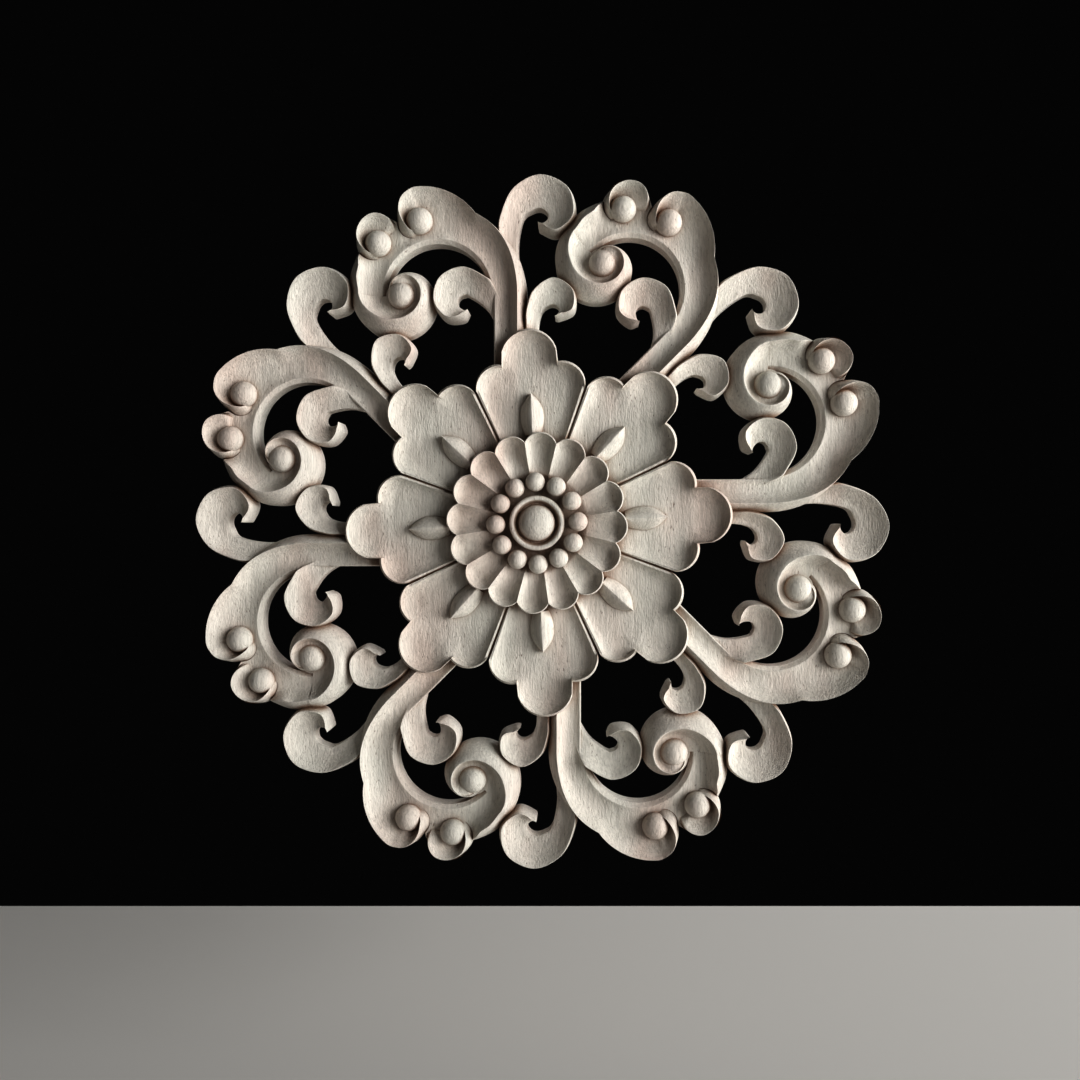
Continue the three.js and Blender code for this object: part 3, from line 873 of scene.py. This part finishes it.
@dataclass
class SmallPetals:
    """Sixteen spoon-shaped petals in a dish round the beads."""

    count: int = 16
    turn: float = -2.8
    end_out: float = 30.4
    end_radius: float = 7.2
    rim_depth: float = 3.2
    bowl_depth: float = 8.2
    bowl_start: float = 20.5
    trough_depth: float = 10.0
    trough_radius: float = 17.5
    inner_radius: float = 9.0
    foot: float = 1.0
    bevel: float = 0.6
    edge_drop: float = 1.0
    end_slope: float = 6.0
    end_blend: Point = (4.0, 2.0)
    crest_share: Point = (0.25, 0.95)
    crest_span: Point = (18, 31)
    rays: int = 8
    rings: int = 16

    def rise(self, radius: float, away: float) -> float:
        """Gives the carved height inside the rim of one petal, by radius and angle from its axis."""
        x, y = radius * math.cos(math.radians(away)), radius * math.sin(math.radians(away))
        floor, rim = height(self.bowl_depth), height(self.rim_depth)
        inside = self.end_radius - math.hypot(max(x - self.end_out, 0.0), y)
        span = (self.end_out - self.end_blend[0], self.end_out + self.end_blend[1])
        end = max(0.0, 1 - inside / self.end_slope) * ease(0, 1, x, span)
        side = away / (180 / self.count)
        crest = ease(*self.crest_share, radius, self.crest_span)
        lift = max(end ** 2.0, crest * side ** 2.2)
        return lerp(floor, rim, min(lift, 1.0))

    def build(self) -> Body:
        """Builds the petals as one relief with a flat floor inside it."""
        half = 180 / self.count
        rings = []
        for petal in range(self.count):
            axis = 90 + self.turn + 2 * half * petal
            for i in range(-self.rays, self.rays):
                share = i / self.rays
                away = half * abs(share)
                edge = reach((0, 0), away, (self.end_out, 0), self.end_radius)
                trough = height(self.trough_depth)
                marks = [(self.inner_radius, self.foot), (self.inner_radius, trough)]
                marks.append((self.trough_radius, trough))
                for j in range(self.rings + 1):
                    radius = lerp(self.bowl_start, edge - self.bevel * 1.6, j / self.rings)
                    marks.append((radius, self.rise(radius, away)))
                rim = height(self.rim_depth)
                marks += [
                    (edge - self.bevel, rim), (edge - self.bevel * 0.3, rim - 0.25),
                    (edge, rim - self.edge_drop), (edge, self.foot)]
                rings.append(spoke(axis + half * share, marks))
        return rolled("small_petals", np.array(rings), endless=True)


@dataclass
class Sepal:
    """A pointed sepal with a sharp ridge, lying on a big petal."""

    turn: float = 2.7
    start: float = 36.6
    end: float = 54.0
    width: float = 9.8
    widest: float = 0.45
    base_share: float = 0.45
    depth: float = 4.9
    edge_depth: float = 9.6
    foot_depth: float = 13.0
    tip_fall: float = 7.0
    tip_shape: Point = (1.2, 0.9)
    least_half: float = 0.12
    flank: float = 1.5
    flank_points: int = 7
    stations: int = 30

    def build(self) -> Body:
        """Builds the sepal upright over the rosette's middle, turned to its petal."""
        rings = []
        for i in range(self.stations + 1):
            share = i / self.stations
            y = lerp(self.start, self.end, share)
            if share < self.widest:
                wide = math.sin(math.pi / 2 * lerp(self.base_share, 1.0, share / self.widest))
            else:
                past = (share - self.widest) / (1 - self.widest)
                wide = math.cos(math.pi / 2 * past ** self.tip_shape[0]) ** self.tip_shape[1]
            half = max(self.width / 2 * wide, self.least_half)
            top = height(self.depth + self.tip_fall * max(0.0, share - 0.5) ** 2)
            ring = [(-half, y, height(self.foot_depth))]
            for j in range(-self.flank_points, self.flank_points + 1):
                place = j / self.flank_points
                ring.append((half * place, y, lerp(top, height(self.edge_depth), abs(place) ** self.flank)))
            ring.append((half, y, height(self.foot_depth)))
            rings.append(ring)
        sepal = rolled("sepal", np.array(rings))
        sepal.rotation_euler = (0, -math.radians(self.turn), 0)
        activate(sepal)
        return settled("sepal")


@dataclass
class Boss:
    """The domed boss in its ring at the heart of the flower."""

    ring_outer: float = 11.4
    ring_inner: float = 9.2
    ring_depth: float = 3.2
    ring_height: float = 1.2
    ring_steps: int = 8
    groove_depth: float = 6.6
    groove_width: float = 0.6
    radius: float = 7.7
    dome_steps: int = 12
    foot: float = 1.0
    sides: int = 72

    def build(self) -> Body:
        """Turns the boss, its groove and its ring round the middle."""
        marks = [(self.ring_outer + 0.5, self.foot), (self.ring_outer + 0.1, height(8.0))]
        middle = (self.ring_outer + self.ring_inner) / 2
        half = (self.ring_outer - self.ring_inner) / 2
        for i in range(self.ring_steps + 1):
            turn = math.pi * i / self.ring_steps
            bulge = self.ring_height * math.sin(turn) ** 0.8
            rise = height(self.ring_depth) - self.ring_height + bulge
            marks.append((middle + half * math.cos(turn), rise))
        marks.append((self.radius + self.groove_width, height(self.groove_depth)))
        marks.append((self.radius, height(self.groove_depth - 0.1)))
        for i in range(1, self.dome_steps):
            turn = math.pi / 2 * i / self.dome_steps
            rise = lerp(height(self.groove_depth - 0.3), BOARD, math.sin(turn))
            marks.append((self.radius * math.cos(turn), rise))
        marks += [(0.0, BOARD), (0.0, self.foot)]
        rings = [spoke(360 * i / self.sides, marks) for i in range(self.sides)]
        return rolled("boss", np.array(rings), endless=True)


@dataclass
class Flower:
    """The flower: big petals, sepals, small petals, beads and the boss.

    The beads' undersides are 0.7 mm above the floor of their trough. Eight beads touch a crest between
    two small petals and are joined there, and the other four touch nothing.
    """

    petals: BigPetals = field(default_factory=BigPetals)
    small_petals: SmallPetals = field(default_factory=SmallPetals)
    sepal: Sepal = field(default_factory=Sepal)
    boss: Boss = field(default_factory=Boss)
    beads: int = 12
    bead_turn: float = 2.0
    bead_circle: float = 17.0
    bead_radius: float = 4.05
    bead_depth: float = 1.2
    bead_sides: int = 24
    base_radius: float = 33.4
    base_top: float = 4.0
    base_sides: int = 64

    def build(self) -> Body:
        """Builds the flower as one body."""
        body = self.petals.build()
        sepal = self.sepal.build()
        parts = [turned(sepal, SECTOR * i, "sepal_copy") for i in range(ARMS)]
        bpy.data.objects.remove(sepal)
        parts.append(self.small_petals.build())
        at = (0, self.bead_circle)
        bead = Ball("bead", at, self.bead_radius, self.bead_depth, self.bead_sides).build()
        for i in range(self.beads):
            parts.append(turned(bead, self.bead_turn + 360 / self.beads * i, "bead_copy"))
        bpy.data.objects.remove(bead)
        base = plug("base", (0, 0), self.base_radius, self.base_top, self.base_sides)
        parts += [base, self.boss.build()]
        return joined(body, parts, Join.ADD)


def linear(code: str) -> tuple[float, float, float, float]:
    """Turns an sRGB hex colour into a linear one."""
    values = [int(code[i:i + 2], 16) / 255 for i in (1, 3, 5)]
    red, green, blue = [v / 12.92 if v <= 0.04045 else ((v + 0.055) / 1.055) ** 2.4 for v in values]
    return red, green, blue, 1.0


def add_node(
        tree: bpy.types.NodeTree, kind: str, settings: dict | None = None, stops: Sequence = (),
        **inputs: object) -> bpy.types.Node:
    """Adds a node to a material.

    Args:
        tree: The material's node tree.
        kind: The node's type.
        settings: Its properties.
        stops: For a colour ramp, pairs of a place and a linear colour or grey.
        **inputs: Its inputs by name, with underscores for spaces, or by number after the word in: a
            value, or a socket to link from.

    Returns:
        The node.
    """
    node = tree.nodes.new(kind)
    for name, value in (settings or {}).items():
        setattr(node, name, value)
    for name, value in inputs.items():
        numbered = name.startswith("in") and name[2:].isdigit()
        socket = node.inputs[int(name[2:]) if numbered else name.replace("_", " ")]
        if isinstance(value, bpy.types.NodeSocket):
            tree.links.new(value, socket)
        else:
            socket.default_value = value
    elements = node.color_ramp.elements if stops else []
    while len(elements) < len(stops):
        elements.new(0.5)
    for element, (place, colour) in zip(elements, stops):
        element.position = place
        element.color = colour if isinstance(colour, tuple) else (colour, colour, colour, 1.0)
    return node


@dataclass(frozen=True)
class CarvedRubberwood:
    """Pale rubberwood, carved and rubbed down, left bare.

    It gives the eye a matt cream to pinkish tan wood with its grain upright, short dark pores along
    the grain and a fine furry tooth left by the tools. Recesses are painted browner and darker: this is
    painted shade from an ambient occlusion node, not the wood's own colour. Real pores are about 0.25 mm
    wide and real fibres finer still. Both are drawn coarser, about a pixel or more wide, so that
    they show in the render.
    """

    cream: str = "#ddd6cc"
    tan: str = "#d6c8bd"
    grey: str = "#d7d3c9"
    pore: str = "#6c5647"
    # The next two fields are painted shade: a brown multiplied into the recesses, and how far out from a
    # surface the occlusion looks for that shade.
    recess_shade: str = "#a5856c"
    recess_shade_mm: float = 5.0
    patch_mm: Point = (30.0, 80.0)
    band_mm: Point = (4.0, 50.0)
    streak_mm: Point = (0.8, 14.0)
    fibre_mm: Point = (0.65, 2.2)
    pore_mm: Point = (0.45, 2.0)
    wave_mm: Point = (4.5, 7.0)
    roughness: float = 0.82
    ior: float = 1.45
    relief_mm: float = 0.7
    relief_strength: float = 0.5

    def pattern(
            self, tree: bpy.types.NodeTree, size: Point, detail: float,
            offset: float) -> bpy.types.NodeSocket:
        """Adds noise drawn out along the grain.

        Args:
            tree: The material's node tree.
            size: Its width across the grain and length along it, in millimetres.
            detail: How many finer layers it has.
            offset: Moves it, so that two patterns differ.

        Returns:
            The noise as a value.
        """
        across, along_grain = 1 / (size[0] * MM), 1 / (size[1] * MM)
        place = add_node(tree, "ShaderNodeTexCoord").outputs["Object"]
        mapping = add_node(
            tree, "ShaderNodeMapping", Vector=place, Scale=(across, across, along_grain),
            Location=(offset, offset * 1.7, offset * 0.6))
        noise = add_node(
            tree, "ShaderNodeTexNoise", Vector=mapping.outputs["Vector"], Scale=1.0, Detail=detail,
            Roughness=0.55)
        return noise.outputs["Fac"]

    def build(self) -> bpy.types.Material:
        """Builds the material."""
        material = bpy.data.materials.new("rubberwood_carved_bare")
        material.use_nodes = True
        tree = material.node_tree
        tree.nodes.clear()
        patch = self.pattern(tree, self.patch_mm, 2.0, 3.1)
        band = self.pattern(tree, self.band_mm, 2.0, 17.3)
        streak = self.pattern(tree, self.streak_mm, 3.0, 11.7)
        fibre = self.pattern(tree, self.fibre_mm, 2.0, 5.3)
        pores = self.pattern(tree, self.pore_mm, 1.0, 23.9)
        ramp, mix = "ShaderNodeValToRGB", "ShaderNodeMix"
        multiply = {"data_type": "RGBA", "blend_type": "MULTIPLY"}
        tints = [(0.36, linear(self.tan)), (0.5, linear(self.cream)), (0.64, linear(self.grey))]
        ground = add_node(tree, ramp, stops=tints, Fac=patch).outputs["Color"]
        broad = add_node(tree, ramp, stops=[(0.3, 0.9), (0.62, 1.0)], Fac=band).outputs["Color"]
        fine = add_node(tree, ramp, stops=[(0.34, 0.82), (0.6, 1.0)], Fac=streak).outputs["Color"]
        banded = add_node(tree, mix, multiply, in0=1.0, in6=ground, in7=broad)
        grained = add_node(tree, mix, multiply, in0=1.0, in6=banded.outputs[2], in7=fine)
        pored = add_node(tree, ramp, stops=[(0.42, 0.25), (0.58, 1.0)], Fac=band).outputs["Color"]
        dark = add_node(tree, ramp, stops=[(0.65, 0.0), (0.75, 0.75)], Fac=pores).outputs["Color"]
        pore_mask = add_node(
            tree, "ShaderNodeMath", {"operation": "MULTIPLY"}, in0=pored, in1=dark).outputs[0]
        wood = add_node(
            tree, mix, {"data_type": "RGBA"}, in0=pore_mask, in6=grained.outputs[2], in7=linear(self.pore))
        # Painted shade: ambient occlusion darkens and browns the colour in recesses. It stands in for shade
        # and is not the wood's own tone.
        open_sky = add_node(
            tree, "ShaderNodeAmbientOcclusion", {"samples": 6, "only_local": True},
            Distance=self.recess_shade_mm * MM)
        recess_shade_stops = [(0.2, linear(self.recess_shade)), (0.8, (1.0, 1.0, 1.0, 1.0))]
        painted_recess_shade = add_node(tree, ramp, stops=recess_shade_stops, Fac=open_sky.outputs["AO"]).outputs["Color"]
        shown = add_node(tree, mix, multiply, in0=1.0, in6=wood.outputs[2], in7=painted_recess_shade)
        dip = add_node(
            tree, "ShaderNodeMath", {"operation": "SUBTRACT"}, in0=fibre, in1=pore_mask).outputs[0]
        tooth = add_node(
            tree, "ShaderNodeMath", {"operation": "ADD"}, in0=dip,
            in1=self.pattern(tree, self.wave_mm, 1.0, 41.3)).outputs[0]
        bump = add_node(
            tree, "ShaderNodeBump", Strength=self.relief_strength, Distance=self.relief_mm * MM,
            Height=tooth)
        shader = add_node(
            tree, "ShaderNodeBsdfPrincipled", Base_Color=shown.outputs[2], Roughness=self.roughness,
            IOR=self.ior, Normal=bump.outputs["Normal"])
        add_node(tree, "ShaderNodeOutputMaterial", Surface=shader.outputs["BSDF"])
        return material


@dataclass(frozen=True)
class PaintedBoard:
    """Board rolled with pale emulsion paint. It gives the eye a flat, even, matt floor."""

    colour: str = "#e4e1dc"
    roughness: float = 0.9

    def build(self) -> bpy.types.Material:
        """Builds the material."""
        material = bpy.data.materials.new("pale_painted_board")
        material.use_nodes = True
        shader = material.node_tree.nodes["Principled BSDF"]
        shader.inputs["Base Color"].default_value = linear(self.colour)
        shader.inputs["Roughness"].default_value = self.roughness
        return material


@dataclass
class Lamp:
    """A soft square light that faces the rosette."""

    name: str
    at: Place
    size: float
    power: float

    def build(self) -> None:
        """Adds the light."""
        data = bpy.data.lights.new(self.name, "AREA")
        data.size = self.size
        data.energy = self.power
        lamp = bpy.data.objects.new(self.name, data)
        bpy.context.scene.collection.objects.link(lamp)
        lamp.location = self.at
        lamp.rotation_euler = Vector(self.at).to_track_quat("Z", "Y").to_euler()


@dataclass
class Studio:
    """The room: a pale floor, soft lights and the camera."""

    floor_at: Place = (0, -0.3, -0.24)
    floor_size: Point = (1.6, 1.0)
    room_grey: float = 0.003
    lamps: Sequence[Lamp] = (
        Lamp("key", (1.3, -0.72, 0.07), 1.2, 42.0),
        Lamp("fill", (-0.3, -1.2, 0.25), 1.0, 0.25),
        Lamp("back", (0.3, 1.3, 0.5), 1.0, 9.0),
    )
    camera_distance: float = 0.42
    frame_width: float = 0.448
    sensor_width: float = 36.0
    azimuth: float = 2.65
    elevation: float = 0.77
    aim: Place = (0.00127, -0.013, -0.00702)
    exposure: float = 0.1
    gamma: float = 0.77

    def floor(self) -> None:
        """Adds the floor."""
        deselect_all()
        bpy.ops.mesh.primitive_plane_add(size=1, location=(0, 0, 0))
        plane = bpy.context.active_object
        plane.scale = (*self.floor_size, 1.0)
        plane.location = self.floor_at
        plane.rotation_euler = (0, 0, math.radians(self.azimuth))
        plane = settled("floor")
        plane.data.materials.append(PaintedBoard().build())

    def camera(self) -> None:
        """Adds the camera where the photograph was taken from."""
        data = bpy.data.cameras.new("camera")
        data.sensor_width = self.sensor_width
        data.lens = self.sensor_width * self.camera_distance / self.frame_width
        camera = bpy.data.objects.new("camera", data)
        bpy.context.scene.collection.objects.link(camera)
        turn, rise = math.radians(self.azimuth), math.radians(self.elevation)
        back = Vector((math.sin(turn) * math.cos(rise), -math.cos(turn) * math.cos(rise), math.sin(rise)))
        camera.location = Vector(self.aim) + back * self.camera_distance
        camera.rotation_euler = back.to_track_quat("Z", "Y").to_euler()
        bpy.context.scene.camera = camera

    def build(self) -> None:
        """Sets the room up."""
        self.floor()
        for lamp in self.lamps:
            lamp.build()
        world = bpy.data.worlds.new("room")
        bpy.context.scene.world = world
        world.use_nodes = True
        ground = world.node_tree.nodes["Background"]
        ground.inputs["Color"].default_value = (self.room_grey, self.room_grey, self.room_grey, 1)
        ground.inputs["Strength"].default_value = 1.0
        view = bpy.context.scene.view_settings
        view.view_transform = "Standard"
        view.exposure = self.exposure
        view.gamma = self.gamma
        self.camera()


def main() -> None:
    """Builds the rosette, its room and its camera."""
    logging.basicConfig(level=logging.INFO, format="%(message)s")
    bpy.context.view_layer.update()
    arm = Arm().build()
    log.info("arm: %d faces", len(arm.data.polygons))
    flower = Flower().build()
    log.info("flower: %d faces", len(flower.data.polygons))
    arms = [turned(arm, SECTOR * i, "arm_copy") for i in range(ARMS)]
    bpy.data.objects.remove(arm)
    rosette = joined(arms[0], arms[1:], Join.ADD)
    joined(rosette, [BigPetals().room()], Join.CUT)
    joined(rosette, [flower], Join.ADD)
    rosette.name = "rosette_carving"
    activate(rosette)
    bpy.ops.object.shade_smooth_by_angle(angle=math.radians(SMOOTH_BELOW))
    rosette.data.materials.clear()
    rosette.data.materials.append(CarvedRubberwood().build())
    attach(rosette, "root")
    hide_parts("rosette")
    log.info("rosette: %d faces", len(rosette.data.polygons))
    Studio().build()


if __name__ == "__main__":
    main()
